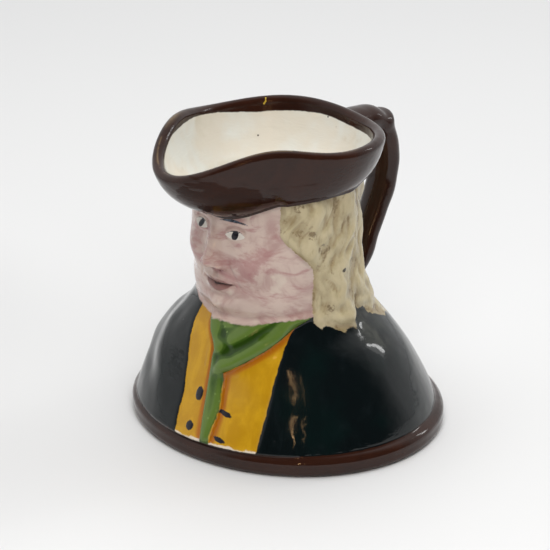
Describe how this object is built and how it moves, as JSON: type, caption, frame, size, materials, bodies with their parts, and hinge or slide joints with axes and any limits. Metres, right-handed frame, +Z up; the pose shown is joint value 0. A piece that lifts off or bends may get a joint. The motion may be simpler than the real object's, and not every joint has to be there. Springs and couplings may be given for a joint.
{
  "type": "toby jug",
  "caption": "Hollow glazed earthenware jug shaped as a head-and-shoulders figure, its upturned tricorn hat forming the mouth, with a strap handle at the back",
  "frame": {"origin": "centre of the flat underside, on the table", "axes": "+Z up, out of the mouth; -Y the way the face looks; +X the figure's left; the handle is on the +Y side"},
  "size_m": [0.1184, 0.1077, 0.1147],
  "materials": {
    "glazed_earthenware": "hand-painted colours under a clear gloss glaze on cream earthenware"
  },
  "bodies": {
    "root": {"toby_jug": "glazed_earthenware"}
  },
  "joints": []
}
